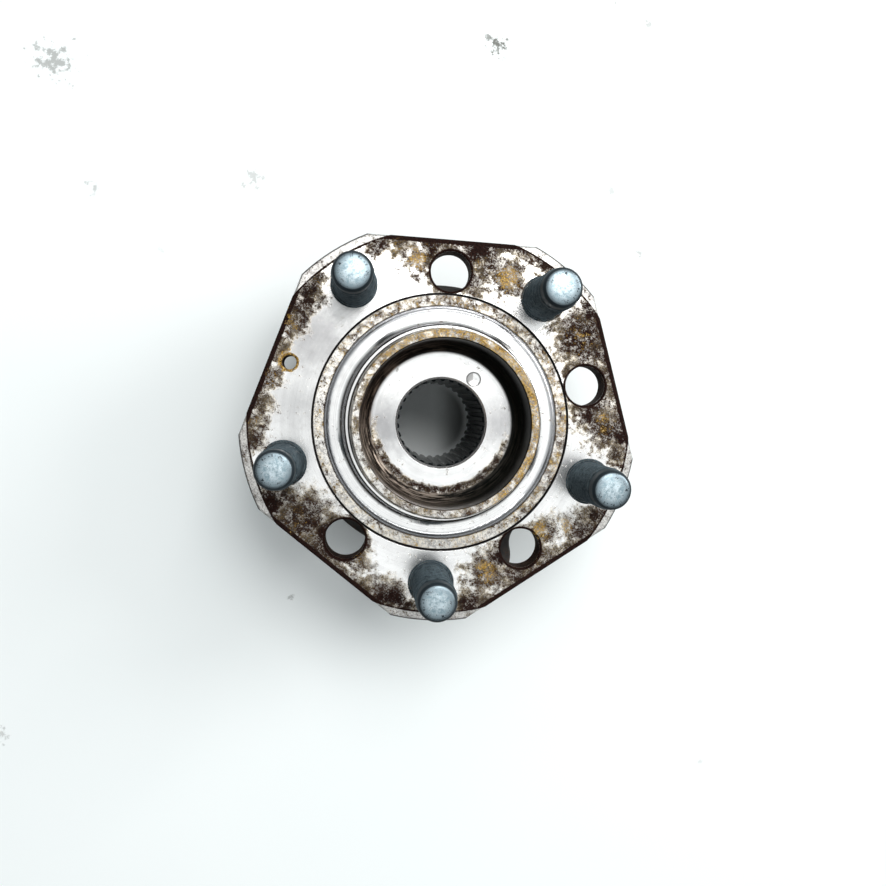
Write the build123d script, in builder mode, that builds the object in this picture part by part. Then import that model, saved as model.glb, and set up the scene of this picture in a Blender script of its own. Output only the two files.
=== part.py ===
from build123d import *
import os
from math import asin, cos, degrees, hypot, pi, radians, sin, sqrt, tan

# Driven wheel hub with its bearing unit, in millimetres.
# The origin is on the spin axis, in the face that the brake disc bolts to.
# +Z runs along the spin axis away from the car, and one wheel stud is on +Y.
# X and Y run along the sides of the rectangle of the four knuckle bolts.
# Outboard means towards the wheel (+Z), inboard means towards the car (-Z).

# Wheel studs
stud_count = 5
stud_circle_d = 114.3
first_stud_angle = 90.0
stud_thread_d = 14.0
stud_reach = 33.0
stud_point_cut = 0.4
stud_point_length = 6.5
stud_end_cut = 1.5
stud_end_chamfer = 1.1
stud_knurl = 0.4
stud_shank_recess = 0.15
stud_head_ledge = 2.6
stud_head_height = 3.5
stud_head_crown = 0.8
stud_countersink = 0.8

# Hub flange, with its width outside the stud circle at the corners and at the flats
flange_corner_width = 13.95
flange_flat_width = 7.25
flange_thickness = 9.5
flange_edge_break = 0.6
rim_width = 3.1
rim_step = 1.2

# Pilots and nut pocket
wheel_pilot_d = 64.1
wheel_pilot_height = 19.8
pilot_wall = 3.45
pilot_relief_width = 0.9
pilot_relief_depth = 0.4
pilot_lead_length = 2.5
pilot_lead_depth = 0.85
rotor_pilot_step = 1.95
rotor_pilot_height = 8.9
rotor_pilot_edge = 0.5
pocket_depth = 19.8
pocket_fillet = 5.0
pocket_edge = 0.4
dimple_d = 5.2
dimple_depth = 0.4
dimple_inset = 2.9
dimple_angle = 92.9

# Turned rings round the disc pilot, from the pilot outwards
trough_width = 7.3
trough_depth = 2.6
trough_inner_fillet = 3.2
trough_outer_fillet = 1.9
ledge_width = 3.6
ledge_depth = 0.4
relief_width = 0.8
relief_depth = 1.2

# Drive spline
spindle_wall = 6.93
spline_teeth = 30
spline_tooth_height = 0.75
spline_flank_angle = 30.0
spline_tooth_share = 0.5
spline_phase = 7.6
spline_mouth_edge = 1.4
space_overlap = 0.2
tail_bore_step = 1.4
tail_bore_depth = 6.5
tail_bore_edge = 0.8

# Holes between the studs
access_hole_d = 14.2
access_hole_inset = 3.85
access_hole_edge = 0.4
screw_hole_slot = 1
screw_hole_d = 5.0
screw_hole_edge = 0.5

# Boss behind the flange and the land under the outboard seal
boss_head_gap = 0.95
boss_slope = 1.2
boss_height = 2.7
boss_edge = 0.6
land_fillet = 1.2

# Balls and raceways. Groove radius and shoulder heights are shares of the ball's diameter.
balls_per_row = 14
ball_gap = 1.7
ball_size_step = 25.4 / 64
ball_clearance = 0.1
contact_angle = 38.0
groove_share = 0.52
outer_shoulder_share = 0.22
spindle_shoulder_share = 0.275
inner_ring_shoulder_share = 0.378

# Cages
pocket_clearance = 0.15
cage_back = 2.2
cage_gap = 2.6
cage_inside = 2.5
cage_shoulder_gap = 0.6
cage_horn = 3.5
cage_notch_d = 1.6
cage_notch_depth = 1.6

# Outer ring
spigot_d = 87.0
spigot_edge = 1.2
barrel_step = 0.5
barrel_edge = 1.0
seal_wall = 4.0
seal_seat_step = 0.5
seal_seat_runout = 0.8
seat_lead = 0.5
end_gap = 1.8
outboard_seal_depth = 4.0
inboard_seal_depth = 4.5
ball_seal_gap = 0.65
knuckle_face_depth = 42.0
knuckle_flange_thickness = 13.0
knuckle_flange_width = 8.1
knuckle_bolt_reach = 3.5
knuckle_bolt_y = 58.0
knuckle_bolt_d = 10.5
knuckle_bolt_edge = 0.4
ear_r = 12.0
ear_blend = 9.0
flange_root_fillet = 2.5
flange_rim_fillet = 1.0

# Inner ring and the collar that holds it
inner_ring_wall = 3.5
inner_ring_overhang = 0.5
inner_ring_corner = 1.5
inner_ring_nose = 0.6
inner_ring_edge = 0.8
collar_height = 5.0
collar_lip = 6.8
collar_fillet = 3.2
collar_upper_fillet = 0.8

# Seals
sheet = 0.6
seal_inset = 0.2
lip_gap = 0.1
lip_thickness = 0.6
lip_length = 2.2
lip_rise = 0.9
rubber_width = 1.2
rubber_pad = 1.0
rubber_pad_reach = 1.2
wear_ring_sheet = 0.5
wear_ring_reach = 7.5
slinger_edge_gap = 0.6
encoder_thickness = 0.9

# Ball size: the largest standard one that keeps its gap to the next ball in a full row. The
# ball circle lies inside the outer raceway by circle_share of the ball's diameter.
seal_seat_r = spigot_d / 2 - seal_wall
outer_race_r = seal_seat_r - seal_seat_step
contact_cos = cos(radians(contact_angle))
chord_share = 2 * sin(pi / balls_per_row)
circle_share = groove_share - (groove_share - 0.5) * contact_cos
largest_chord = chord_share * (outer_race_r - ball_clearance * contact_cos)
largest_ball_d = (largest_chord - ball_gap) / (1 + chord_share * circle_share)
ball_d = ball_size_step * int(largest_ball_d / ball_size_step)

# Radii of the raceways, worked out from the outer ring inwards
groove_r = groove_share * ball_d
groove_offset = groove_r - ball_d / 2 - ball_clearance
groove_offset_r = groove_offset * contact_cos
groove_offset_z = groove_offset * sin(radians(contact_angle))
outer_groove_r = outer_race_r - groove_r
ball_circle_r = outer_groove_r + groove_offset_r
inner_groove_r = ball_circle_r + groove_offset_r
inner_race_r = inner_groove_r - groove_r
outer_shoulder_r = outer_race_r - outer_shoulder_share * ball_d
spindle_land_r = inner_race_r + spindle_shoulder_share * ball_d
inner_ring_land_r = inner_race_r + inner_ring_shoulder_share * ball_d
inner_ring_seat_r = inner_race_r - inner_ring_wall
spline_root_r = inner_ring_seat_r - spindle_wall
spline_tip_r = spline_root_r - spline_tooth_height
barrel_r = spigot_d / 2 + barrel_step

# Faces across the axis, from the wheel end to the car end
flange_back = -flange_thickness
hub_back = flange_back - boss_height
ring_top = hub_back - end_gap
outboard_case_face = ring_top - outboard_seal_depth
outboard_row = outboard_case_face - ball_seal_gap - ball_d / 2
cage_pocket_r = ball_d / 2 + pocket_clearance
row_spacing = 2 * (cage_pocket_r + cage_back) + cage_gap
inboard_row = outboard_row - row_spacing
bearing_middle = (outboard_row + inboard_row) / 2
inboard_case_face = inboard_row - ball_d / 2 - ball_seal_gap
ring_bottom = inboard_case_face - inboard_seal_depth
inner_ring_end = ring_bottom - inner_ring_overhang
collar_end = inner_ring_end - collar_height
pocket_floor = wheel_pilot_height - pocket_depth

# Radii of the hub, worked out from the wheel pilot and from the stud circle
wheel_pilot_r = wheel_pilot_d / 2
pocket_r = wheel_pilot_r - pilot_wall
rotor_pilot_r = wheel_pilot_r + rotor_pilot_step
trough_r = rotor_pilot_r + trough_width
ledge_r = trough_r + ledge_width
face_r = ledge_r + relief_width
stud_circle_r = stud_circle_d / 2
flange_r = stud_circle_r + flange_corner_width
flat_distance = stud_circle_r + flange_flat_width
stud_thread_r = stud_thread_d / 2
stud_shank_r = stud_thread_r + stud_knurl
stud_head_r = stud_shank_r + stud_head_ledge
boss_foot_r = stud_circle_r - stud_head_r - boss_head_gap
spline_mouth_r = spline_tip_r + spline_mouth_edge
tail_bore_r = spline_root_r + tail_bore_step

os.makedirs("parts", exist_ok=True)


def corner(sketch, r, z):
    """The sketch's corner nearest to radius r and height z."""
    return sketch.vertices().sort_by_distance((r, z))[0]


def circles_of(edges, radius):
    """The edges that are circles, or parts of circles, of this radius."""
    return edges.filter_by(GeomType.CIRCLE).filter_by(lambda edge: abs(edge.radius - radius) < 0.01)


def groove_arc(centre_r, centre_z, start_r, end_r, side):
    """Arc of a ball groove on the side of its centre where z - centre_z has the sign of side.

    It runs from the radius start_r to the radius end_r.
    """
    def on_groove(r):
        return (r, centre_z + side * sqrt(max(groove_r**2 - (r - centre_r) ** 2, 0)))

    start, end = on_groove(start_r), on_groove(end_r)
    middle_r = (start[0] + end[0]) / 2 - centre_r
    middle_z = (start[1] + end[1]) / 2 - centre_z
    scale = groove_r / hypot(middle_r, middle_z)
    return ThreePointArc(start, (centre_r + middle_r * scale, centre_z + middle_z * scale), end)


# Hub and spindle in one forging: flange, pilots, nut pocket, outboard inner raceway,
# splined bore, seat for the separate inner ring, and the collar formed over that ring
spindle_groove_z = outboard_row - groove_offset_z
land_end = spindle_groove_z + sqrt(groove_r**2 - (inner_groove_r - spindle_land_r) ** 2)
collar_r = inner_ring_seat_r + collar_lip
tail_bore_top = collar_end + tail_bore_depth
pilot_relief_r = wheel_pilot_r - pilot_relief_depth
space_height = spline_tooth_height + space_overlap
space_width = pi * (spline_root_r + spline_tip_r) / spline_teeth * (1 - spline_tooth_share)
space_slope = 2 * tan(radians(spline_flank_angle))
space_base = space_width + space_slope * (spline_tooth_height / 2 + space_overlap)

with BuildPart() as hub_spindle:
    with BuildSketch(Plane.XZ) as hub_section:
        with BuildLine():
            Polyline(
                (pocket_r, wheel_pilot_height),
                (wheel_pilot_r - pilot_lead_depth, wheel_pilot_height),
                (wheel_pilot_r, wheel_pilot_height - pilot_lead_length),
                (wheel_pilot_r, rotor_pilot_height + pilot_relief_width),
                (pilot_relief_r, rotor_pilot_height + pilot_relief_width - pilot_relief_depth),
                (pilot_relief_r, rotor_pilot_height),
                (rotor_pilot_r - rotor_pilot_edge, rotor_pilot_height),
                (rotor_pilot_r, rotor_pilot_height - rotor_pilot_edge),
                (rotor_pilot_r, -trough_depth),
                (trough_r, -trough_depth),
                (trough_r, -ledge_depth),
                (ledge_r, -ledge_depth),
                (ledge_r, -relief_depth),
                (face_r, -relief_depth),
                (face_r, 0),
                (flange_r - rim_width, 0),
                (flange_r - rim_width, -rim_step),
                (flange_r, -rim_step),
                (flange_r, flange_back),
                (boss_foot_r, flange_back),
                (boss_foot_r - boss_slope, hub_back),
                (spindle_land_r, hub_back),
                (spindle_land_r, land_end),
            )
            groove_arc(inner_groove_r, spindle_groove_z, spindle_land_r, inner_race_r, 1)
            Polyline(
                (inner_race_r, spindle_groove_z),
                (inner_race_r, bearing_middle),
                (inner_ring_seat_r, bearing_middle),
                (inner_ring_seat_r, inner_ring_end + inner_ring_corner),
                (inner_ring_seat_r + inner_ring_corner, inner_ring_end),
                (collar_r, inner_ring_end),
                (collar_r, collar_end),
                (tail_bore_r, collar_end),
                (tail_bore_r, tail_bore_top),
                (spline_tip_r, tail_bore_top + tail_bore_r - spline_tip_r),
                (spline_tip_r, pocket_floor - spline_mouth_edge),
                (spline_mouth_r, pocket_floor),
                (pocket_r, pocket_floor),
                (pocket_r, wheel_pilot_height),
            )
        make_face()
        fillet(corner(hub_section.sketch_local, rotor_pilot_r, -trough_depth), trough_inner_fillet)
        fillet(corner(hub_section.sketch_local, trough_r, -trough_depth), trough_outer_fillet)
        fillet(corner(hub_section.sketch_local, pocket_r, pocket_floor), pocket_fillet)
        fillet(corner(hub_section.sketch_local, spindle_land_r, hub_back), land_fillet)
        fillet(corner(hub_section.sketch_local, boss_foot_r - boss_slope, hub_back), boss_edge)
        fillet(corner(hub_section.sketch_local, collar_r, collar_end), collar_fillet)
        fillet(corner(hub_section.sketch_local, collar_r, inner_ring_end), collar_upper_fillet)
        chamfer(corner(hub_section.sketch_local, tail_bore_r, collar_end), tail_bore_edge)
        chamfer(corner(hub_section.sketch_local, pocket_r, wheel_pilot_height), pocket_edge)
        chamfer(corner(hub_section.sketch_local, flange_r, flange_back), flange_edge_break)
        chamfer(corner(hub_section.sketch_local, flange_r, -rim_step), flange_edge_break)
    revolve(axis=Axis.Z)

    # Flats milled on the flange's edge, between the studs
    with BuildSketch(Plane.XY.offset(flange_back)):
        Circle(2 * flange_r)
        RegularPolygon(
            flat_distance,
            stud_count,
            major_radius=False,
            rotation=first_stud_angle,
            mode=Mode.SUBTRACT,
        )
    extrude(amount=flange_thickness, mode=Mode.SUBTRACT)
    flats = hub_spindle.faces().filter_by(GeomType.PLANE).filter_by(lambda f: abs(f.normal_at().Z) < 0.5)
    chamfer(flats.edges().filter_by(GeomType.LINE).filter_by(Axis.Z, reverse=True), flange_edge_break)

    # Pressed stud holes with a countersink in the disc face
    with PolarLocations(stud_circle_r, stud_count, start_angle=first_stud_angle):
        CounterSinkHole(stud_shank_r, stud_shank_r + stud_countersink, counter_sink_angle=90)

    # Large holes that a socket reaches the knuckle bolts through, and the disc's screw hole
    for slot in range(stud_count):
        is_screw_hole = slot == screw_hole_slot
        circle_r = stud_circle_r if is_screw_hole else stud_circle_r - access_hole_inset
        hole_d = screw_hole_d if is_screw_hole else access_hole_d
        edge = screw_hole_edge if is_screw_hole else access_hole_edge
        with PolarLocations(circle_r, 1, start_angle=first_stud_angle + (slot + 0.5) * 360 / stud_count):
            CounterSinkHole(hole_d / 2, hole_d / 2 + edge, counter_sink_angle=90)

    # Small round mark pressed into the pocket's floor
    mark_r = ((dimple_d / 2) ** 2 + dimple_depth**2) / (2 * dimple_depth)
    mark_top = -degrees(asin(1 - dimple_depth / mark_r))
    with Locations((0, 0, pocket_floor - dimple_depth)):
        with PolarLocations(spline_mouth_r + dimple_inset, 1, start_angle=dimple_angle):
            Sphere(
                mark_r,
                arc_size2=mark_top,
                align=(Align.CENTER, Align.CENTER, Align.MIN),
                mode=Mode.SUBTRACT,
            )

    # Drive spline: the spaces between the teeth, broached right through the bore
    with BuildSketch(Plane.XY.offset(pocket_floor)):
        with PolarLocations(
            spline_root_r - space_height / 2, spline_teeth, start_angle=spline_phase + 180 / spline_teeth
        ):
            Trapezoid(space_base, space_height, 90 - spline_flank_angle, rotation=-90)
    extrude(amount=tail_bore_top - pocket_floor, mode=Mode.SUBTRACT)
hub_spindle.part.label = "hub_spindle"
export_step(hub_spindle.part, "parts/hub_spindle.step")

# Wheel studs, pressed in from behind. Their thread is left as a plain cylinder.
shank_top = -stud_shank_recess
point_root = stud_reach - stud_point_length
point_r = stud_thread_r - stud_point_cut
head_bottom = flange_back - stud_head_height
stud_spots = PolarLocations(stud_circle_r, stud_count, start_angle=first_stud_angle)
for number, spot in enumerate(stud_spots, start=1):
    with BuildPart() as wheel_stud:
        with BuildSketch(Plane(spot.position, x_dir=(1, 0, 0), z_dir=(0, -1, 0))) as stud_section:
            with BuildLine():
                Polyline(
                    (0, stud_reach),
                    (stud_thread_r - stud_end_cut, stud_reach),
                    (point_r, stud_reach - stud_end_chamfer),
                    (point_r, point_root),
                    (stud_thread_r, point_root - stud_point_cut),
                    (stud_thread_r, shank_top),
                    (stud_shank_r, shank_top - stud_knurl),
                    (stud_shank_r, flange_back),
                    (stud_head_r, flange_back),
                    (stud_head_r, head_bottom),
                    (0, head_bottom),
                    close=True,
                )
            make_face()
            fillet(corner(stud_section.sketch_local, stud_head_r, head_bottom), stud_head_crown)
        revolve(axis=Axis(spot.position, (0, 0, 1)))
    wheel_stud.part.label = f"wheel_stud_{number}"
    export_step(wheel_stud.part, f"parts/wheel_stud_{number}.step")

# Separate inner ring with the inboard inner raceway, pressed on the spindle
inner_ring_groove_z = inboard_row + groove_offset_z
with BuildPart() as inner_ring:
    with BuildSketch(Plane.XZ) as inner_ring_section:
        with BuildLine():
            race = groove_arc(inner_groove_r, inner_ring_groove_z, inner_race_r, inner_ring_land_r, -1)
            Polyline(
                race @ 1,
                (inner_ring_land_r, inner_ring_end),
                (inner_ring_seat_r + inner_ring_corner, inner_ring_end),
                (inner_ring_seat_r, inner_ring_end + inner_ring_corner),
                (inner_ring_seat_r, bearing_middle),
                (inner_race_r, bearing_middle),
                race @ 0,
            )
        make_face()
        chamfer(corner(inner_ring_section.sketch_local, inner_ring_seat_r, bearing_middle), inner_ring_nose)
        fillet(corner(inner_ring_section.sketch_local, inner_race_r, bearing_middle), inner_ring_nose)
        fillet(corner(inner_ring_section.sketch_local, inner_ring_land_r, inner_ring_end), inner_ring_edge)
    revolve(axis=Axis.Z)
inner_ring.part.label = "inner_ring"
export_step(inner_ring.part, "parts/inner_ring.step")

# Outer ring: barrel, spigot and four-eared flange that bolts to the knuckle, with both outer
# raceways and a seat for a seal at each end
flange_top = -knuckle_face_depth + knuckle_flange_thickness
knuckle_bolt_x = spigot_d + 2 * knuckle_bolt_reach
with BuildPart() as outer_ring:
    with BuildSketch(Plane.XZ) as barrel_section:
        with BuildLine():
            Polyline(
                (0, ring_top),
                (barrel_r, ring_top),
                (barrel_r, -knuckle_face_depth),
                (spigot_d / 2, -knuckle_face_depth),
                (spigot_d / 2, ring_bottom),
                (0, ring_bottom),
                close=True,
            )
        make_face()
        fillet(corner(barrel_section.sketch_local, barrel_r, ring_top), barrel_edge)
        chamfer(corner(barrel_section.sketch_local, spigot_d / 2, ring_bottom), spigot_edge)
    revolve(axis=Axis.Z)
    with BuildSketch(Plane.XY.offset(-knuckle_face_depth)) as flange_outline:
        Circle(barrel_r + knuckle_flange_width)
        with GridLocations(knuckle_bolt_x, knuckle_bolt_y, 2, 2):
            Circle(ear_r)
        fillet(flange_outline.vertices(), ear_blend)
    extrude(amount=knuckle_flange_thickness)
    upper_edges = outer_ring.edges().filter_by_position(Axis.Z, flange_top - 0.01, flange_top + 0.01)
    flange_root = circles_of(upper_edges, barrel_r)
    fillet([edge for edge in upper_edges if edge not in flange_root], flange_rim_fillet)
    fillet(circles_of(outer_ring.edges(), barrel_r).group_by(Axis.Z)[-2], flange_root_fillet)
    with BuildSketch(Plane.XZ) as bore_section:
        with BuildLine():
            top_race = groove_arc(
                outer_groove_r, outboard_row + groove_offset_z, outer_race_r, outer_shoulder_r, -1
            )
            low_race = groove_arc(
                outer_groove_r, inboard_row - groove_offset_z, outer_shoulder_r, outer_race_r, 1
            )
            Line(top_race @ 1, low_race @ 0)
            Polyline(
                low_race @ 1,
                (outer_race_r, inboard_case_face + seal_seat_runout),
                (seal_seat_r, inboard_case_face + seal_seat_runout),
                (seal_seat_r, ring_bottom + seat_lead),
                (seal_seat_r + seat_lead, ring_bottom),
                (0, ring_bottom),
                (0, ring_top),
                (seal_seat_r + seat_lead, ring_top),
                (seal_seat_r, ring_top - seat_lead),
                (seal_seat_r, outboard_case_face - seal_seat_runout),
                (outer_race_r, outboard_case_face - seal_seat_runout),
                top_race @ 0,
            )
        make_face()
    revolve(axis=Axis.Z, mode=Mode.SUBTRACT)
    with BuildSketch(Plane.XY.offset(-knuckle_face_depth)):
        with GridLocations(knuckle_bolt_x, knuckle_bolt_y, 2, 2):
            Circle(knuckle_bolt_d / 2)
    extrude(amount=knuckle_flange_thickness, mode=Mode.SUBTRACT)
    chamfer(circles_of(outer_ring.edges(), knuckle_bolt_d / 2).group_by(Axis.Z)[-1], knuckle_bolt_edge)
outer_ring.part.label = "outer_ring"
export_step(outer_ring.part, "parts/outer_ring.step")


def snap_cage(row, middle):
    """Moulded cage of one row: a ring on the side where middle points, with horns round each ball."""
    back = row + middle * (cage_pocket_r + cage_back)
    tip = row - middle * cage_horn
    cage_inner_r = ball_circle_r - cage_inside
    cage_outer_r = outer_shoulder_r - cage_shoulder_gap
    with BuildPart(Plane.XY.offset(row)) as cage:
        with BuildSketch(Plane.XZ):
            with Locations(((cage_inner_r + cage_outer_r) / 2, (back + tip) / 2)):
                Rectangle(cage_outer_r - cage_inner_r, abs(back - tip))
        revolve(axis=Axis.Z)
        with PolarLocations(ball_circle_r, balls_per_row):
            Sphere(cage_pocket_r, mode=Mode.SUBTRACT)
        with Locations((0, 0, tip - row)):
            with PolarLocations(ball_circle_r, balls_per_row, start_angle=180 / balls_per_row):
                Box(4 * cage_inside, cage_notch_d, 2 * cage_notch_depth, mode=Mode.SUBTRACT)
    return cage.part


for side, row, middle in (("outboard", outboard_row, -1), ("inboard", inboard_row, 1)):
    cage_part = snap_cage(row, middle)
    cage_part.label = f"cage_{side}"
    export_step(cage_part, f"parts/cage_{side}.step")
    for number in range(balls_per_row):
        with BuildPart(Plane.XY.offset(row)) as ball:
            with PolarLocations(ball_circle_r, 1, start_angle=number * 360 / balls_per_row):
                Sphere(ball_d / 2)
        ball.part.label = f"ball_{side}_{number + 1:02d}"
        export_step(ball.part, f"parts/ball_{side}_{number + 1:02d}.step")


def turned(outline):
    """Ring turned about the spin axis from the closed outline of its section, as (r, z) corners."""
    with BuildPart() as ring:
        with BuildSketch(Plane.XZ):
            with BuildLine():
                Polyline(*outline, close=True)
            make_face()
        revolve(axis=Axis.Z)
    return ring.part


def seal_case(face, end, lip_r, inwards):
    """Sheet case from its flange's face at the balls to its end, with inwards the sign towards the balls."""
    inner_r = lip_r + lip_gap + lip_length + rubber_width
    return turned([
        (seal_seat_r, end),
        (seal_seat_r, face),
        (inner_r, face),
        (inner_r, face - inwards * sheet),
        (seal_seat_r - sheet, face - inwards * sheet),
        (seal_seat_r - sheet, end),
    ])


def seal_lips(face, lip_r, lip_face, inwards):
    """Rubber round the case's inner edge, with two lips round the radius lip_r and one at lip_face."""
    tip_r = lip_r + lip_gap
    rubber_r = tip_r + lip_length
    inner_r = rubber_r + rubber_width
    pad_r = inner_r + rubber_pad_reach
    sheet_face = face - inwards * sheet
    pad = sheet_face - inwards * rubber_pad
    thickness = inwards * lip_thickness
    return turned([
        (tip_r, face),
        (inner_r, face),
        (inner_r, sheet_face),
        (pad_r, sheet_face),
        (pad_r, pad),
        (inner_r + lip_thickness, pad),
        (pad_r + lip_thickness, lip_face + inwards * lip_gap),
        (pad_r, lip_face + inwards * lip_gap),
        (rubber_r + lip_thickness, pad),
        (tip_r + lip_thickness, pad - inwards * lip_rise),
        (tip_r, pad - inwards * lip_rise + thickness),
        (rubber_r, pad + thickness),
        (rubber_r, face - thickness),
        (tip_r, face - thickness),
    ])


# Outboard seal: a sheet case pressed into the outer ring, rubber moulded on the case, and a
# wear ring of thin sheet that sits on the spindle's land and turns with the hub
wear_cylinder_r = spindle_land_r + wear_ring_sheet
wear_leg_face = hub_back - wear_ring_sheet

outboard_seal_case = seal_case(outboard_case_face, ring_top - seal_inset, wear_cylinder_r, -1)
outboard_seal_case.label = "outboard_seal_case"
export_step(outboard_seal_case, "parts/outboard_seal_case.step")

outboard_seal_lips = seal_lips(outboard_case_face, wear_cylinder_r, wear_leg_face, -1)
outboard_seal_lips.label = "outboard_seal_lips"
export_step(outboard_seal_lips, "parts/outboard_seal_lips.step")

with BuildPart() as outboard_wear_ring:
    with BuildSketch(Plane.XZ) as wear_section:
        with BuildLine():
            Polyline(
                (spindle_land_r, hub_back),
                (spindle_land_r + wear_ring_reach, hub_back),
                (spindle_land_r + wear_ring_reach, wear_leg_face),
                (wear_cylinder_r, wear_leg_face),
                (wear_cylinder_r, outboard_case_face),
                (spindle_land_r, outboard_case_face),
                close=True,
            )
        make_face()
        fillet(corner(wear_section.sketch_local, spindle_land_r, hub_back), land_fillet)
        fillet(
            corner(wear_section.sketch_local, wear_cylinder_r, wear_leg_face), land_fillet - wear_ring_sheet
        )
    revolve(axis=Axis.Z)
outboard_wear_ring.part.label = "outboard_wear_ring"
export_step(outboard_wear_ring.part, "parts/outboard_wear_ring.step")

# Inboard cassette seal: case and rubber as above, and a slinger on the inner ring that closes
# the seal's open side and carries the magnet ring that the wheel speed is read from
slinger_r = inner_ring_land_r + sheet
slinger_face = ring_bottom + seal_inset
slinger_inside = slinger_face + sheet
encoder_outer_r = seal_seat_r - sheet - slinger_edge_gap

inboard_seal_case = seal_case(inboard_case_face, ring_bottom + seal_inset, slinger_r, 1)
inboard_seal_case.label = "inboard_seal_case"
export_step(inboard_seal_case, "parts/inboard_seal_case.step")

inboard_seal_lips = seal_lips(inboard_case_face, slinger_r, slinger_inside, 1)
inboard_seal_lips.label = "inboard_seal_lips"
export_step(inboard_seal_lips, "parts/inboard_seal_lips.step")

inboard_slinger = turned([
    (inner_ring_land_r, inboard_case_face),
    (slinger_r, inboard_case_face),
    (slinger_r, slinger_inside),
    (encoder_outer_r, slinger_inside),
    (encoder_outer_r, slinger_face),
    (inner_ring_land_r, slinger_face),
])
inboard_slinger.label = "inboard_slinger"
export_step(inboard_slinger, "parts/inboard_slinger.step")

encoder_ring = turned([
    (slinger_r, slinger_face),
    (encoder_outer_r, slinger_face),
    (encoder_outer_r, slinger_face - encoder_thickness),
    (slinger_r, slinger_face - encoder_thickness),
])
encoder_ring.label = "encoder_ring"
export_step(encoder_ring, "parts/encoder_ring.step")
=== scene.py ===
from math import cos, pi, radians, sin

import bpy
from mathutils import Matrix, Vector


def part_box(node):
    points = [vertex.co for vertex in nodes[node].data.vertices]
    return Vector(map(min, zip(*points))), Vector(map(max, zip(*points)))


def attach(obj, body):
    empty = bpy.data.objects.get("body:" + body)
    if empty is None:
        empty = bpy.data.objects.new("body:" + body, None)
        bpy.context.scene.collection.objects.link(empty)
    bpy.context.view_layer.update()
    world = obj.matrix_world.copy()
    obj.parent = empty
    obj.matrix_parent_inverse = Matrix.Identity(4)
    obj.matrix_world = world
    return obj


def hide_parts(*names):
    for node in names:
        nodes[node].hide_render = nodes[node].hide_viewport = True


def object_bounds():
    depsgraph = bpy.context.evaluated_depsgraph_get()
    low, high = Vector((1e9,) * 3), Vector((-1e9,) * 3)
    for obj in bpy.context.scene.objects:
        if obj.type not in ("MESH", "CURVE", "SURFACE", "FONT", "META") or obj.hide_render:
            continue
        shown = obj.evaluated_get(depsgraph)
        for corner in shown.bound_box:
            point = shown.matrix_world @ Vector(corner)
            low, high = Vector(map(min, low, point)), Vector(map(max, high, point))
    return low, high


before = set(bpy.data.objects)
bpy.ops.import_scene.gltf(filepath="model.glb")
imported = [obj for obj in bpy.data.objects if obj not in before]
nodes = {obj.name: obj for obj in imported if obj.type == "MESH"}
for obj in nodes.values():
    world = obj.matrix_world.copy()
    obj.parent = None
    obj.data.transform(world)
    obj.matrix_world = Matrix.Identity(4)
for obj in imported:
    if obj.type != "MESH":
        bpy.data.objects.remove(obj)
lowest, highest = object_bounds()

# Camera of the picture, in the row frame and millimetres: it looks down on the disc face from 0.32 m.
# FOCAL is its focal length in the picture's own pixels.
PICTURE = 886
FOCAL = 900.0
CAMERA = Vector((-24.87, -10.33, 317.2))
AIM = Vector((5.06, -5.10, 0.0))
LEFT_TO_RIGHT = Vector((0.7661, 0.6374, 0.0828))
SENSOR = 36.0

back = (CAMERA - AIM).normalized()
right = (LEFT_TO_RIGHT - back * LEFT_TO_RIGHT.dot(back)).normalized()
up = back.cross(right)


def on_face(x, y, height=0.0):
    """Point of the row frame, in millimetres, at this height behind the picture's point (x, y)."""
    ray = right * (x - PICTURE / 2) - up * (y - PICTURE / 2) - back * FOCAL
    return CAMERA + ray * ((height - CAMERA.z) / ray.z)


class Value:
    """Output of a shader node that can be used in sums and products like a number."""

    def __init__(self, shader, socket):
        self.shader = shader
        self.socket = socket

    def __add__(self, other):
        return self.shader.math("ADD", self, other)

    def __sub__(self, other):
        return self.shader.math("SUBTRACT", self, other)

    def __mul__(self, other):
        return self.shader.math("MULTIPLY", self, other)

    def __rsub__(self, other):
        return self.shader.math("SUBTRACT", other, self)

    __radd__ = __add__
    __rmul__ = __mul__


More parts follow.
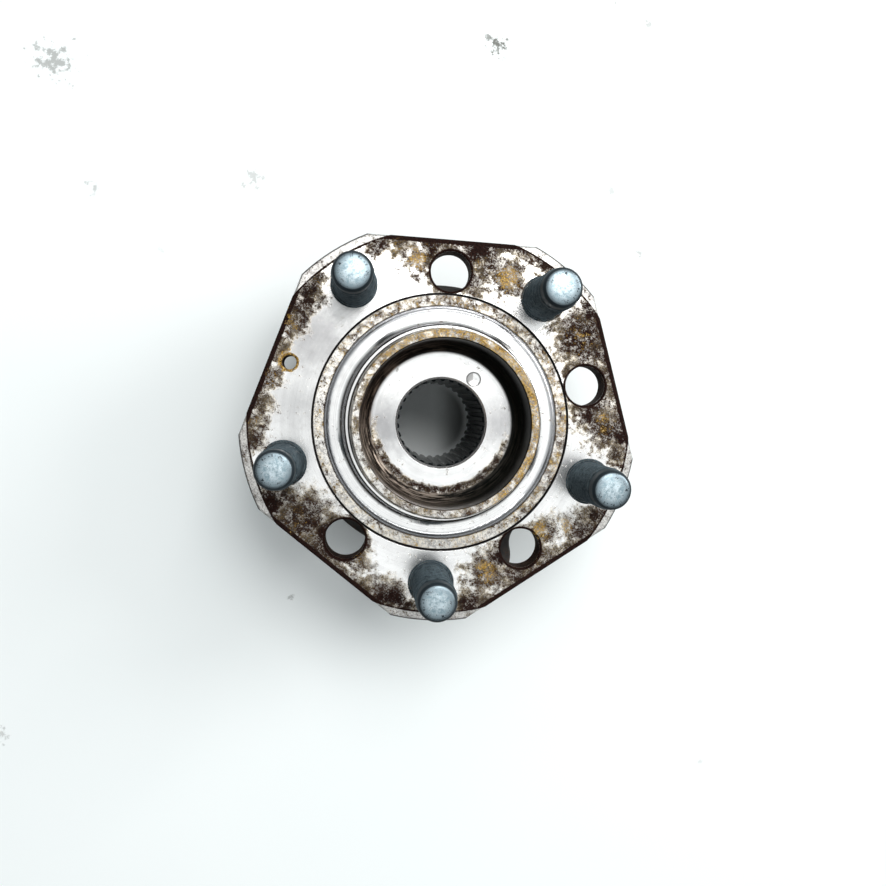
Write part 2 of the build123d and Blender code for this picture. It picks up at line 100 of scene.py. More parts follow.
class Shader:
    """Node tree of a material or world, with short ways to add and join its nodes."""

    def __init__(self, owner):
        owner.use_nodes = True
        self.tree = owner.node_tree

    def put(self, socket, value):
        if isinstance(value, Value):
            self.tree.links.new(value.socket, socket)
        elif socket.type == "RGBA":
            socket.default_value = (*value, 1.0)
        else:
            socket.default_value = value

    def add(self, kind, inputs, output=0, **settings):
        node = self.tree.nodes.new(kind)
        for key, value in settings.items():
            setattr(node, key, value)
        for key, value in inputs.items():
            self.put(node.inputs[key], value)
        return Value(self, node.outputs[output])

    def math(self, operation, *values):
        return self.add("ShaderNodeMath", dict(enumerate(values)), operation=operation)

    def step(self, value, start, end, low=0.0, high=1.0):
        """Smooth step of a value: low up to start, high from end."""
        inputs = {"Value": value, "From Min": start, "From Max": end, "To Min": low, "To Max": high}
        return self.add("ShaderNodeMapRange", inputs, interpolation_type="SMOOTHSTEP")

    def band(self, value, start, end, soft=0.15):
        """1 between start and end, and 0 outside them."""
        rise = self.step(value, start - soft, start + soft)
        return rise * self.step(value, end - soft, end + soft, 1.0, 0.0)

    def mix(self, share, a, b):
        return self.add("ShaderNodeMix", {0: share, 6: a, 7: b}, output=2, data_type="RGBA")

    def blend(self, share, a, b):
        return self.add("ShaderNodeMix", {0: share, 2: a, 3: b}, data_type="FLOAT")

    def noise(self, vector, size, detail=3.0, roughness=0.55):
        """Noise whose features are about this size in millimetres, from 0 to 1."""
        inputs = {"Vector": vector, "Scale": 1.0 / size, "Detail": detail, "Roughness": roughness}
        return self.add("ShaderNodeTexNoise", inputs)

    def vector(self, x, y, z):
        return self.add("ShaderNodeCombineXYZ", {0: x, 1: y, 2: z})

    def millimetres(self):
        """The point's place in the row frame at rest, in millimetres."""
        place = self.add("ShaderNodeTexCoord", {}, output="Object")
        inputs = {0: place, 1: (1000, 1000, 1000)}
        return self.add("ShaderNodeVectorMath", inputs, operation="MULTIPLY")

    def split(self, vector):
        node = self.tree.nodes.new("ShaderNodeSeparateXYZ")
        self.put(node.inputs[0], vector)
        return [Value(self, node.outputs[i]) for i in range(3)]

    def radius(self, x, y):
        return self.math("SQRT", x * x + y * y)

    def distance(self, a, b):
        return self.add("ShaderNodeVectorMath", {0: a, 1: b}, output=1, operation="DISTANCE")

    def along(self, vector, direction):
        """How far the vector reaches along this direction."""
        inputs = {0: vector, 1: direction}
        return self.add("ShaderNodeVectorMath", inputs, output=1, operation="DOT_PRODUCT")


def finish_of(name, build):
    """Principled material whose inputs are what build returns."""
    material = bpy.data.materials.new(name)
    shader = Shader(material)
    surface = shader.tree.nodes["Principled BSDF"]
    for key, value in build(shader).items():
        shader.put(surface.inputs[key], value)
    return material


def bumped(shader, height, depth, base=None):
    """Normal of a surface whose height, from 0 to 1, is that many millimetres deep."""
    inputs = {"Height": height, "Strength": 1.0, "Distance": depth / 1000}
    if base is not None:
        inputs["Normal"] = base
    return shader.add("ShaderNodeBump", inputs)


def rounded(shader, radius):
    return shader.add("ShaderNodeBevel", {"Radius": radius / 1000}, samples=4)


# Rust on the disc face: centre and radius in the picture, how dense it is, and how golden
RUST = [
    (378, 243, 12, 0.80, 0.1), (400, 247, 14, 0.60, 0.3), (418, 258, 16, 0.65, 0.9),
    (434, 250, 14, 0.95, 0.3), (478, 250, 18, 0.95, 0.1), (486, 266, 16, 0.75, 0.3),
    (508, 278, 18, 0.78, 1.0), (476, 290, 11, 0.70, 0.1), (524, 247, 13, 0.85, 0.0),
    (544, 262, 11, 0.85, 0.0), (592, 310, 13, 0.95, 0.1), (582, 336, 26, 0.90, 0.5),
    (600, 352, 14, 0.85, 0.3), (565, 352, 11, 0.70, 0.4), (606, 378, 9, 0.80, 0.1),
    (590, 409, 19, 0.85, 0.1), (606, 428, 20, 0.85, 0.5), (621, 436, 12, 0.95, 0.0),
    (618, 456, 11, 0.85, 0.1), (586, 532, 18, 0.80, 0.1), (598, 517, 10, 0.90, 0.0),
    (564, 524, 13, 0.48, 0.9), (541, 531, 13, 0.75, 0.8), (546, 560, 13, 0.75, 0.3),
    (520, 576, 18, 0.80, 0.2), (486, 572, 19, 0.75, 0.8), (500, 556, 12, 0.95, 0.0),
    (471, 605, 12, 0.95, 0.0), (480, 590, 9, 0.60, 0.2), (388, 598, 15, 1.00, 0.0),
    (376, 586, 10, 0.70, 0.3), (406, 608, 9, 0.85, 0.0), (358, 558, 13, 0.75, 0.5),
    (320, 552, 16, 0.85, 0.1), (302, 520, 26, 0.85, 0.4), (268, 503, 15, 1.00, 0.0),
    (284, 498, 12, 0.85, 0.1), (328, 535, 15, 0.95, 0.0), (322, 508, 10, 0.55, 0.3),
    (252, 440, 11, 0.80, 0.1), (256, 420, 12, 0.75, 0.4), (262, 403, 11, 0.80, 0.2),
    (272, 376, 11, 0.75, 0.7), (284, 345, 8, 0.55, 0.3), (292, 325, 12, 0.70, 0.6),
    (298, 312, 13, 0.78, 0.3), (308, 292, 14, 0.90, 0.2), (318, 281, 10, 0.80, 0.3),
]
# Painted reflection and shadow on the steel, grey patches for the dark room it mirrors and one stud's
# shadow: centre and radius in the picture, and share
PAINTED_REFLECTION_PATCHES = [
    (312, 335, 62, 0.75), (296, 405, 40, 0.45), (560, 470, 34, 0.20), (383, 425, 46, 0.85),
    (500, 423, 44, 0.75),
]
# Width of one of the picture's pixels on the disc face, in millimetres
PIXEL = 0.352
# Directions, in degrees, that the flange's flat sides face
FLATS = [126, 198, 270, 342, 54]
# Radius and direction of the large holes, the disc's screw hole and the punch mark
ACCESS_HOLES = [(53.3, 126), (53.3, 270), (53.3, 342), (53.3, 54)]
SCREW_HOLE = (57.15, 198)
PUNCH_MARK = (19.155, 92.9)


def at(place):
    """Point in the plane of the disc face at this radius and direction."""
    radius, angle = place
    return (radius * cos(radians(angle)), radius * sin(radians(angle)), 0.0)


def hub_steel(s):
    p = s.millimetres()
    x, y, z = s.split(p)
    r = s.radius(x, y)
    coarse = s.noise(p, 6.0, 2.0)
    medium = s.noise(p, 1.9, 5.0, 0.6)
    fine = s.noise(p, 0.50, 2.0, 0.7)
    specks = s.noise(p, 0.62, 3.0, 0.75)
    grain = s.step(specks, 0.40, 0.60)
    flat = s.vector(x, y, 0.0)
    ragged = s.vector(x + (coarse - 0.5) * 12.0, y + (medium - 0.5) * 8.0, 0.0)

    dense = 0.0
    golden = 0.0
    for px, py, size, density, gold in RUST:
        centre = on_face(px, py)
        away = s.distance(ragged, (centre.x, centre.y, 0.0))
        size *= PIXEL
        dense = s.math("MAXIMUM", dense, s.step(away, size * 0.2, size * 2.1, density * 0.94, 0.0))
        if gold > 0.2:
            golden = s.math("MAXIMUM", golden, s.step(away, size * 0.2, size * 1.3, gold, 0.0))
    # Painted reflection and shadow: the steel is greyed in these patches.
    painted_reflection = 0.0
    for px, py, size, share in PAINTED_REFLECTION_PATCHES:
        centre = on_face(px, py)
        away = s.distance(ragged, (centre.x, centre.y, 0.0))
        painted_reflection = s.math("MAXIMUM", painted_reflection, s.step(away, 0.0, size * PIXEL, share, 0.0))
    rims = 0.0
    for hole in ACCESS_HOLES:
        dense = s.math("MAXIMUM", dense, s.step(s.distance(ragged, at(hole)), 7.5, 11.5, 0.70, 0.0))
        rims = s.math("MAXIMUM", rims, s.step(s.distance(flat, at(hole)), 7.6, 8.2, 1.6, 0.0))
    from_hole = s.distance(flat, at(SCREW_HOLE))
    rims = s.math("MAXIMUM", rims, s.step(from_hole, 2.9, 3.9, 1.0, 0.0))
    golden = s.math("MAXIMUM", golden, s.step(from_hole, 2.9, 5.5, 1.0, 0.0))
    reach = -100.0
    for angle in FLATS:
        across = x * cos(radians(angle)) + y * sin(radians(angle))
        reach = s.math("MAXIMUM", reach, across)
    rims = s.math("MAXIMUM", rims, s.step(reach, 62.0, 63.4, 0.0, 1.6))
    rims = s.math("MAXIMUM", rims, s.band(r, 67.2, 68.05, 0.3) * 0.9)
    dense = s.math("MAXIMUM", dense, s.step(reach + (coarse - 0.5) * 14.0, 56.5, 64.0, 0.0, 0.72))

    disc_face = s.step(r, 45.6, 45.8) * s.step(z, -0.9, -0.3)
    # Painted shade: a thin near-black line in the relief groove.
    groove_shade_line = s.band(r, 45.0, 45.75, 0.1) * s.step(z, -0.35, -0.45)
    ledge = s.band(r, 41.2, 45.0) * s.band(z, -1.4, 2.0)
    ledge_edge = s.band(r, 41.1, 41.6, 0.2) * s.band(z, -1.0, 2.0)
    rim = s.step(r, 67.9, 68.1) * s.band(z, -2.2, -0.9)
    pilot_top = s.band(r, 28.4, 32.3) * s.step(z, 16.0, 19.0)
    pilot_foot = s.band(r, 31.8, 32.4, 0.2) * s.band(z, 8.4, 10.2)
    wall = s.step(r, 23.7, 25.5) * s.step(r, 30.0, 30.2, 1.0, 0.0) * s.band(z, 0.15, 19.7, 0.15)
    trough = s.band(r, 33.9, 41.3, 0.05) * s.step(z, -0.95, -0.85, 1.0, 0.0)
    trough_flank_reflection = s.math("MAXIMUM", s.step(r, 38.8, 40.0), s.step(r, 35.2, 36.8, 0.45, 0.0)) * trough
    # Painted shade: thin near-black lines along the pilot edges, the ledge edge and the outer chamfer.
    edge_shade_lines = s.band(r, 33.55, 34.05, 0.08) * s.band(z, 8.3, 8.85, 0.08)
    edge_shade_lines = s.math("MAXIMUM", edge_shade_lines, s.step(r, 70.5, 70.75) * s.band(z, -2.2, -1.1, 0.1) * 0.8)
    edge_shade_lines = s.math("MAXIMUM", edge_shade_lines, s.band(r, 41.1, 41.5, 0.1) * s.band(z, -2.2, -0.75, 0.05) * 0.7)
    edge_shade_lines = s.math("MAXIMUM", edge_shade_lines, s.band(r, 31.0, 32.75, 0.1) * s.band(z, 7.9, 9.2, 0.1) * 0.95)
    bore = s.step(r, 16.3, 16.5, 1.0, 0.0) * s.step(z, -0.9, -0.1, 1.0, 0.0)
    low_side = s.step(x * 0.55 - y * 0.83, -6.0, 16.0)
    wall_right_shade = s.step(x * right.x + y * right.y - medium * 6.0, -22.0, 12.0)
    floor_edge = s.band(r, 22.4, 25.4, 1.0) * s.step(z, 3.0, 1.0) * low_side
    outside = s.step(z, -0.5, -1.3) * s.step(r, 45.8, 46.2) * (1.0 - rim)
    towards_gold = s.step(x * 0.20 + y * 0.98, -26.0, 22.0)

    field = s.math("MAXIMUM", dense, rims) * disc_face
    field = s.math("MAXIMUM", field, ledge * (0.28 + towards_gold * 0.16))
    field = s.math("MAXIMUM", field, ledge_edge * 0.6)
    field = s.math("MAXIMUM", field, rim * 0.24)
    field = s.math("MAXIMUM", field, pilot_top * (0.40 + towards_gold * 0.16))
    field = s.math("MAXIMUM", field, pilot_foot * 0.7)
    field = s.math("MAXIMUM", field, floor_edge * 0.72)
    field = s.math("MAXIMUM", field, outside * 1.5)
    clumps = s.noise(p, 3.4, 4.0, 0.65)
    speckle = (clumps - 0.5) * 1.5 + (medium - 0.5) * 1.2 + (fine - 0.5) * 0.8 + (grain - 0.5) * 0.55
    rust = s.step(field + speckle, 0.46, 0.66)
    pits = s.step(fine * 0.55 + medium * 0.45, 0.655, 0.69) * s.step(coarse, 0.42, 0.62)
    rust = s.math("MAXIMUM", rust, pits * 0.9)
    stain = s.step(field + (clumps - 0.5) * 0.8 + (medium - 0.5) * 0.7, 0.06, 0.55)
    stain = s.math("MAXIMUM", stain, s.math("MAXIMUM", ledge * 0.64, rim * 0.8))
    stain = s.math("MAXIMUM", stain, pilot_top * 0.38)

    gold = s.math("MAXIMUM", golden * disc_face * 0.72, pilot_top * (0.15 + towards_gold * 0.64))
    gold = s.math("MAXIMUM", gold, ledge * 0.36)
    gold = s.step(gold + (coarse - 0.5) * 0.9 + (medium - 0.5) * 1.1 + (fine - 0.5) * 1.2, 0.40, 0.70)
    shade = medium * 0.3 + grain * 0.7
    patchy = s.step(coarse * 0.6 + medium * 0.4, 0.40, 0.60)
    olive = s.mix(s.step(coarse, 0.46, 0.58), (0.070, 0.038, 0.024), (0.190, 0.148, 0.094))
    brown = s.mix(s.step(field, 0.50, 0.90), olive, (0.026, 0.010, 0.007))
    brown = s.mix(outside, brown, s.mix(patchy, (0.040, 0.022, 0.017), (0.085, 0.052, 0.038)))
    dark = s.mix(shade, (0.0015, 0.0006, 0.0006), brown)
    yellow = s.mix(s.step(specks, 0.42, 0.50), (0.016, 0.007, 0.003), (0.42, 0.25, 0.055))
    yellow = s.mix(s.step(specks, 0.56, 0.64), yellow, (0.86, 0.68, 0.36))
    rust_colour = s.mix(gold, dark, yellow)

    turning = s.noise(s.vector(r, z, 0.0), 0.25, 3.0, 0.6)
    wide = s.noise(s.vector(r, z, 0.0), 2.4, 2.0, 0.5)
    tone = turning * 0.35 + wide * 0.35 + coarse * 0.3
    steel = s.mix(s.step(tone, 0.38, 0.60), (0.82, 0.81, 0.81), (0.97, 0.965, 0.96))
    # Painted reflection and shadow: grey patches on the steel.
    steel = s.mix(painted_reflection, steel, (0.36, 0.355, 0.365))
    # Painted reflection: the trough's sloping flanks are coloured dark grey for the dark horizon they
    # mirror.
    steel = s.mix(trough_flank_reflection * 0.8, steel, (0.27, 0.28, 0.30))
    pale = s.mix(patchy, (0.74, 0.71, 0.64), (0.70, 0.58, 0.38))
    pale = s.mix(rim, pale, (0.50, 0.485, 0.455))
    tarnish = s.mix(s.step(grain * 0.75 + fine * 0.25, 0.10, 0.60), (0.050, 0.034, 0.026), pale)
    steel = s.mix(stain * 0.85, steel, tarnish)
    around = s.math("ARCTAN2", y, x)
    streaks = s.noise(s.vector(r * 0.4, z * 2.6, around * 3.5), 1.0, 6.0, 0.72)
    wall_colour = s.mix(s.step(streaks, 0.44, 0.62), (0.006, 0.004, 0.003), (0.140, 0.100, 0.076))
    wall_colour = s.mix(low_side * s.step(streaks, 0.46, 0.60) * 0.7, wall_colour, (0.46, 0.39, 0.33))
    # Painted shade: the wall's right side, away from the light, is coloured near black.
    wall_colour = s.mix(wall_right_shade * 0.93, wall_colour, (0.001, 0.002, 0.0015))
    # Painted shade: the bore is coloured near black for the shade deep inside it.
    bore_shade_colour = s.mix(medium, (0.001, 0.002, 0.0025), (0.006, 0.009, 0.011))
    mark = at(PUNCH_MARK)
    from_mark = s.distance(flat, mark)
    across_mark = (x - mark[0]) * right.x + (y - mark[1]) * right.y
    # Painted shade: the left half of the punch mark is coloured dark grey.
    punch_mark_shade = s.step(from_mark, 1.9, 2.5, 1.0, 0.0) * s.step(across_mark, -0.4, 0.1, 1.0, 0.0)
    punch_mark_shade = punch_mark_shade * s.step(z, -0.6, -0.45)
    steel = s.mix(punch_mark_shade * 0.7, steel, (0.30, 0.29, 0.28))
    punch_rim_shade = s.band(from_mark, 2.2, 2.65, 0.12) * s.step(z, -0.6, -0.45) * 0.75

    colour = s.mix(rust, steel, rust_colour)
    # Painted shade: the groove, edge and punch-mark lines are coloured near black.
    painted_shade_lines = s.math("MAXIMUM", s.math("MAXIMUM", groove_shade_line, punch_rim_shade), edge_shade_lines)
    colour = s.mix(painted_shade_lines, colour, (0.010, 0.008, 0.008))
    colour = s.mix(wall, colour, wall_colour)
    colour = s.mix(bore, colour, bore_shade_colour)
    # Less metallic on the pocket wall and where shade is painted: its right side, the bore and the dark
    # lines.
    wall_and_painted_shade = s.math("MAXIMUM", wall * (0.4 + wall_right_shade * 0.6), s.math("MAXIMUM", bore, painted_shade_lines))
    covered = s.math("MAXIMUM", rust, wall_and_painted_shade)
    rough = s.blend(rust, 0.15 + turning * 0.12 + stain * 0.25, 0.75)
    rough = s.blend(wall, rough, 0.40)
    grooves = bumped(s, turning, 0.006, rounded(s, 0.2))
    normal = bumped(s, rust * (0.4 + grain * 0.6), 0.05, grooves)
    tangent = s.add("ShaderNodeVectorTransform", {0: s.vector(0.0 - y, x, 0.0)}, vector_type="VECTOR")
    return {
        "Base Color": colour,
        "Metallic": 1.0 - covered * 0.95,
        "Specular IOR Level": 0.08,
        "Roughness": rough,
        "Anisotropic": 0.35,
        "Tangent": tangent,
        "Normal": normal,
    }


def stud_plating(s):
    p = s.millimetres()
    x, y, z = s.split(p)
    r = s.radius(x, y)
    medium = s.noise(p, 1.6, 4.0, 0.6)
    fine = s.noise(p, 0.45, 3.0, 0.65)
    end = s.step(z, 32.2, 32.5)
    mottle = s.step(medium * 0.6 + fine * 0.4, 0.38, 0.62)
    side = s.mix(mottle, (0.028, 0.042, 0.052), (0.090, 0.122, 0.140))
    # Painted shade: the thread's valleys are coloured darker than its crests.
    side = s.mix(s.step(r, 6.25, 6.9), (0.016, 0.024, 0.030), side)
    worn_end_and_shade = s.mix(mottle, (0.22, 0.30, 0.34), (0.58, 0.67, 0.72))
    # Painted shading: the end is coloured light at its centre and darker towards its rim.
    worn_end_and_shade = s.mix(s.step(r + (medium - 0.5) * 4.0, 2.6, 5.4), worn_end_and_shade, (0.20, 0.25, 0.28))
    spots = s.step(fine * 0.7 + medium * 0.3 + r * 0.014, 0.62, 0.66)
    colour = s.mix(end, side, worn_end_and_shade)
    colour = s.mix(spots * end, colour, (0.02, 0.028, 0.032))
    return {
        "Base Color": colour,
        "Metallic": s.blend(end, 0.35, 0.9),
        "Specular IOR Level": 0.25,
        "Roughness": s.blend(end, 0.50 + mottle * 0.12, 0.34 + mottle * 0.12),
        "Normal": bumped(s, medium + fine * 0.5, 0.05),
    }


def outer_ring_steel(s):
    p = s.millimetres()
    x, y, _ = s.split(p)
    medium = s.noise(p, 2.2, 4.0, 0.6)
    fine = s.noise(p, 0.6, 3.0, 0.65)
    coarse = s.noise(p, 9.0, 2.0)
    inside = s.step(s.radius(x, y), 40.4, 40.8, 1.0, 0.0)
    # Forging scale, coloured darker still as painted shade for the faces that lie in shadow under the hub's
    # flange.
    forged_scale_and_shade = s.mix(medium, (0.018, 0.017, 0.016), (0.075, 0.071, 0.068))
    rusty = s.mix(fine, (0.022, 0.010, 0.007), (0.11, 0.055, 0.030))
    rust = s.step(coarse * 0.6 + medium * 0.5 + fine * 0.3, 0.74, 0.92)
    ground = s.mix(fine, (0.52, 0.51, 0.50), (0.66, 0.65, 0.64))
    colour = s.mix(inside, s.mix(rust, forged_scale_and_shade, rusty), ground)
    return {
        "Base Color": colour,
        "Metallic": s.blend(inside, 0.7 - rust * 0.6, 1.0),
        "Roughness": s.blend(inside, 0.45 + rust * 0.3, 0.22),
        "Normal": bumped(s, medium * 0.6 + fine * 0.4, 0.05, rounded(s, 0.3)),
    }


def bearing_steel(s):
    p = s.millimetres()
    medium = s.noise(p, 2.5, 3.0)
    fine = s.noise(p, 0.4, 2.0)
    colour = s.mix(medium, (0.56, 0.565, 0.575), (0.74, 0.745, 0.75))
    return {
        "Base Color": colour,
        "Metallic": 1.0,
        "Roughness": 0.08 + medium * 0.10,
        "Normal": bumped(s, fine, 0.002),
    }


def cage_nylon(s):
    p = s.millimetres()
    medium = s.noise(p, 3.0, 3.0)
    fine = s.noise(p, 0.35, 3.0, 0.7)
    colour = s.mix(medium, (0.30, 0.19, 0.075), (0.44, 0.30, 0.14))
    return {
        "Base Color": colour,
        "Roughness": 0.38 + fine * 0.2,
        "Subsurface Weight": 0.05,
        "Normal": bumped(s, fine, 0.02),
    }


def seal_sheet(s):
    p = s.millimetres()
    x, y, z = s.split(p)
    medium = s.noise(p, 1.8, 4.0, 0.6)
    rings = s.noise(s.vector(s.radius(x, y), z, 0.0), 0.3, 2.0)
    colour = s.mix(medium * 0.6 + rings * 0.4, (0.34, 0.34, 0.335), (0.58, 0.575, 0.56))
    return {
        "Base Color": colour,
        "Metallic": 0.95,
        "Roughness": 0.28 + medium * 0.15,
        "Normal": bumped(s, rings, 0.01),
    }


def rubber(dark, light, grain):
    def build(s):
        p = s.millimetres()
        medium = s.noise(p, 2.0, 4.0, 0.6)
        fine = s.noise(p, grain, 3.0, 0.7)
        return {
            "Base Color": s.mix(medium * 0.5 + fine * 0.5, dark, light),
            "Roughness": 0.55 + medium * 0.2,
            "Normal": bumped(s, fine, 0.03),
        }

    return build


# Wheel studs with a real thread, in millimetres. They stand for the plain CAD studs and keep their
# outer sizes. AROUND and ALONG are how many points go round the stud and along one pitch.
THREAD_R = 7.0
THREAD_PITCH = 1.5
THREAD_DEPTH = 0.85
THREAD_START, THREAD_END = 1.2, 26.4
POINT_R = 6.58
SHANK_R = 7.38
HEAD_R = 9.98
STUD_TOP, STUD_BOTTOM = 32.98, -12.98
FLANGE_BACK = -9.52
AROUND = 72
ALONG = 14
FLANK_SLOPE = 1.35
CREST_SHARE = 0.175
STUD_TURN = 70


def thread_depth(z, turn):
    """How far the thread's flank lies below its crest at this height and share of a turn."""
    share = ((z - THREAD_START) / THREAD_PITCH - turn) % 1.0
    flank = 1.0 - abs(2.0 * share - 1.0)
    cut = min(max(flank * FLANK_SLOPE - CREST_SHARE, 0.0), 1.0)
    ends = min(z - THREAD_START, THREAD_END - z) / THREAD_PITCH
    return THREAD_DEPTH * cut * min(max(ends, 0.0), 1.0)


def stud_rows():
    """The stud's outline from its end to its head, as (radius, height, whether the thread cuts it)."""
    rows = [(share * 4.9, STUD_TOP - 0.35 * share**2, False) for share in (0.2, 0.4, 0.6, 0.8, 1.0)]
    rows += [(5.45, 32.48, False), (5.9, 32.15, False), (6.25, 31.75, False), (6.48, 31.35, False)]
    rows += [(POINT_R, 30.9, False), (POINT_R, 27.1, False), (6.62, 26.9, False), (6.8, 26.7, False)]
    steps = int((THREAD_END - THREAD_START) / THREAD_PITCH * ALONG)
    for i in range(steps + 1):
        rows.append((THREAD_R, THREAD_END - (THREAD_END - THREAD_START) * i / steps, True))
    rows += [(THREAD_R, 0.6, False), (THREAD_R, -0.2, False), (SHANK_R, -0.6, False)]
    rows += [(SHANK_R, FLANGE_BACK, False), (HEAD_R - 0.1, FLANGE_BACK, False), (HEAD_R, -9.65, False)]
    rows += [(HEAD_R, -12.2, False), (9.9, -12.55, False), (9.65, -12.85, False)]
    rows.append((9.2, STUD_BOTTOM, False))
    rows.append((0.5, STUD_BOTTOM, False))
    return rows


def stud_mesh():
    rows = stud_rows()
    points = [(0.0, 0.0, STUD_TOP)]
    for r, z, cut in rows:
        for i in range(AROUND):
            turn = i / AROUND
            here = r - (thread_depth(z, turn) if cut else 0.0)
            points.append((here * cos(2 * pi * turn), here * sin(2 * pi * turn), z))
    points.append((0.0, 0.0, STUD_BOTTOM))
    faces = []
    for i in range(AROUND):
        j = (i + 1) % AROUND
        faces.append((0, 1 + i, 1 + j))
        for k in range(len(rows) - 1):
            a, b = 1 + k * AROUND, 1 + (k + 1) * AROUND
            faces.append((a + i, b + i, b + j, a + j))
        last = 1 + (len(rows) - 1) * AROUND
        faces.append((last + i, len(points) - 1, last + j))
    mesh = bpy.data.meshes.new("threaded_stud")
    mesh.from_pydata([(x / 1000, y / 1000, z / 1000) for x, y, z in points], [], faces)
    mesh.update()
    for polygon in mesh.polygons:
        polygon.use_smooth = True
    return mesh


threaded = stud_mesh()
threaded.materials.append(finish_of("stud_plating", stud_plating))
for number in range(1, 6):
    low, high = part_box(f"wheel_stud_{number}")
    stud = bpy.data.objects.new(f"threaded_stud_{number}", threaded)
    bpy.context.scene.collection.objects.link(stud)
    foot = Matrix.Translation(((low.x + high.x) / 2, (low.y + high.y) / 2, 0.0))
    stud.matrix_world = foot @ Matrix.Rotation(radians(STUD_TURN * number), 4, "Z")
    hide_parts(f"wheel_stud_{number}")
    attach(stud, "hub")

bearing_finish = finish_of("bearing_steel", bearing_steel)
sheet_finish = finish_of("seal_sheet", seal_sheet)
cage_finish = finish_of("cage_nylon", cage_nylon)
lip_finish = finish_of("seal_rubber", rubber((0.012, 0.012, 0.012), (0.035, 0.034, 0.032), 0.3))
magnet_finish = finish_of("magnet_rubber", rubber((0.030, 0.024, 0.020), (0.065, 0.052, 0.042), 0.2))
FINISHES = {
    "hub_spindle": finish_of("hub_steel", hub_steel),
    "outer_ring": finish_of("outer_ring_steel", outer_ring_steel),
    "inner_ring": bearing_finish,
    "ball": bearing_finish,
    "cage": cage_finish,
    "outboard_seal_case": sheet_finish,
    "inboard_seal_case": sheet_finish,
    "outboard_wear_ring": sheet_finish,
    "inboard_slinger": sheet_finish,
    "outboard_seal_lips": lip_finish,
    "inboard_seal_lips": lip_finish,
    "encoder_ring": magnet_finish,
}
for name, node in nodes.items():
    kind = name if name in FINISHES else name.split("_")[0]
    node.data.materials.clear()
    node.data.materials.append(FINISHES.get(kind, bearing_finish))


floor_z = lowest.z
TABLE_HALF = 6.0
# Radii, in millimetres, between which the far table fades to white for the camera
FADE = (260.0, 1500.0)
# Specks on the white table: place and radius in the picture, and how dark they are
SPECKS = [
    (497, 46, 8, 0.9), (489, 39, 4, 0.7), (55, 60, 16, 0.55), (42, 50, 7, 0.5), (94, 186, 6, 0.4),
    (255, 178, 8, 0.35), (655, 291, 2, 0.9), (640, 256, 4, 0.4), (612, 190, 5, 0.3), (648, 25, 3, 0.4),
    (615, 2, 3, 0.5), (291, 597, 3, 0.45), (3, 734, 6, 0.35), (160, 250, 3, 0.2), (700, 762, 3, 0.2),
]


def table_top(s):
    p = s.millimetres()
    soft = s.noise(p, 120.0, 2.0)
    fine = s.noise(p, 1.2, 3.0, 0.6)
    ragged = s.noise(p, 3.0, 4.0, 0.7)
    x, y, _ = s.split(p)
    flat = s.vector(x, y, 0.0)
    dirt = 0.0
    for px, py, size, share in SPECKS:
        centre = on_face(px, py, floor_z * 1000)
        away = s.distance(flat, (centre.x, centre.y, 0.0))
        near = s.step(away + (ragged - 0.5) * size * 3.2, 0.0, size * 0.42, share, 0.0)
        dirt = s.math("MAXIMUM", dirt, near)
    colour = s.mix(soft, (0.86, 0.905, 0.915), (0.90, 0.935, 0.94))
    colour = s.mix(dirt, colour, (0.10, 0.10, 0.085))
    # Painted shadow: the table seen through the bore is coloured dark on its right-hand part.
    bore_shadow_patch = s.step(s.radius(x, y), 13.0, 17.0, 1.0, 0.0)
    bore_shadow_patch = bore_shadow_patch * s.step(x * right.x + y * right.y, 1.0, 14.0)
    colour = s.mix(bore_shadow_patch * 0.9, colour, (0.06, 0.065, 0.07))
    seen = s.add("ShaderNodeLightPath", {}, output="Is Camera Ray")
    return {
        "Base Color": colour,
        "Emission Color": (1.0, 1.0, 1.0),
        "Emission Strength": seen * s.step(s.radius(x, y), *FADE, 0.0, 0.7),
        "Roughness": 0.5 + fine * 0.1,
        "Specular IOR Level": 0.25,
        "Normal": bumped(s, fine, 0.01),
    }


corners = [(-1, -1), (1, -1), (1, 1), (-1, 1)]
floor_mesh = bpy.data.meshes.new("table_top")
floor_mesh.from_pydata(
    [(x * TABLE_HALF, y * TABLE_HALF, floor_z) for x, y in corners],
    [],
    [(0, 1, 2, 3)],
)
floor_mesh.materials.append(finish_of("table_top", table_top))
floor = bpy.data.objects.new("table_top", floor_mesh)
bpy.context.scene.collection.objects.link(floor)


# Light: a sky that is bright overhead and dim to the horizon, least so towards the window at the
# picture's top right, a little dimmer to the left, and with the photographer's soft dark shape
# straight above. The camera sees it plain white. Two soft lamps, in metres and watts.
WINDOW_SIDE = (right * 0.45 + up * 0.90).normalized()
PHOTOGRAPHER = (-0.06, 0.01, 0.0)


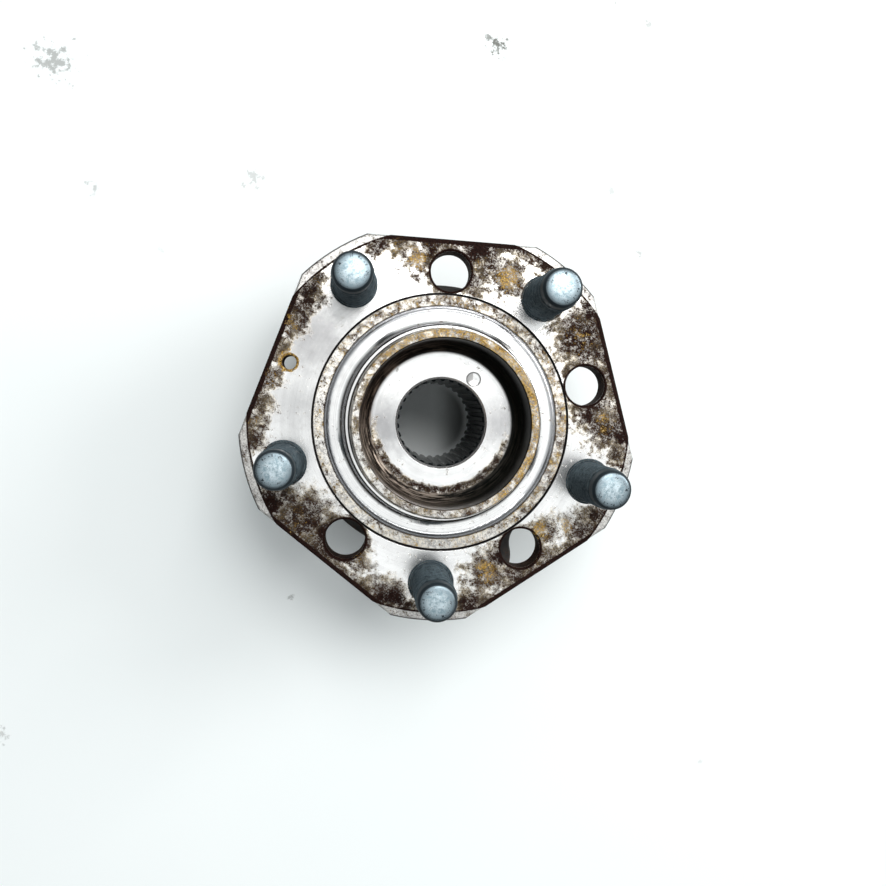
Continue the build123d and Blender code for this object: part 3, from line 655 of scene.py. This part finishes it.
def sky():
    world = bpy.data.worlds.new("sky")
    s = Shader(world)
    direction = s.add("ShaderNodeTexCoord", {}, output="Generated")
    x, y, height = s.split(direction)
    sideways = s.along(direction, WINDOW_SIDE)
    horizon = s.step(sideways, -0.1, 0.9, 0.0, 0.55)
    overhead = s.step(height * 0.98 + sideways * 0.20, 0.28, 0.95)
    level = s.blend(overhead, horizon, 1.10)
    away = s.distance(s.vector(x, y, 0.0), PHOTOGRAPHER)
    level = level * s.step(away, 0.02, 0.15, 0.55, 1.0)
    level = level * s.step(s.along(direction, right), -0.40, -0.08, 0.85, 1.0)
    camera_ray = s.add("ShaderNodeLightPath", {}, output="Is Camera Ray")
    background = s.tree.nodes["Background"]
    s.put(background.inputs["Color"], (0.97, 1.0, 1.0))
    s.put(background.inputs["Strength"], s.blend(camera_ray, level, 1.0))
    bpy.context.scene.world = world


def lamp(name, place, width, watts):
    """Round lamp that points at the hub."""
    data = bpy.data.lights.new(name, "AREA")
    data.shape = "DISK"
    data.size = width
    data.energy = watts
    data.color = (1.0, 0.99, 0.97)
    light = bpy.data.objects.new(name, data)
    light.location = place
    light.rotation_euler = (-Vector(place)).to_track_quat("-Z", "Y").to_euler()
    bpy.context.scene.collection.objects.link(light)


sky()
lamp("ceiling", right * 0.14 + up * 0.36 + Vector((0, 0, 0.80)), 0.42, 3.7)
lamp("window", right * 0.80 + up * 0.36 + Vector((0, 0, 0.42)), 0.45, 4.6)

camera_data = bpy.data.cameras.new("camera")
camera_data.sensor_width = SENSOR
camera_data.lens = SENSOR * FOCAL / PICTURE
camera_data.clip_start = 0.01
camera_data.clip_end = 20.0
camera = bpy.data.objects.new("camera", camera_data)
camera.matrix_world = Matrix(
    (
        (right.x, up.x, back.x, CAMERA.x / 1000),
        (right.y, up.y, back.y, CAMERA.y / 1000),
        (right.z, up.z, back.z, CAMERA.z / 1000),
        (0.0, 0.0, 0.0, 1.0),
    )
)
bpy.context.scene.collection.objects.link(camera)
bpy.context.scene.camera = camera
bpy.context.scene.view_settings.view_transform = "Standard"
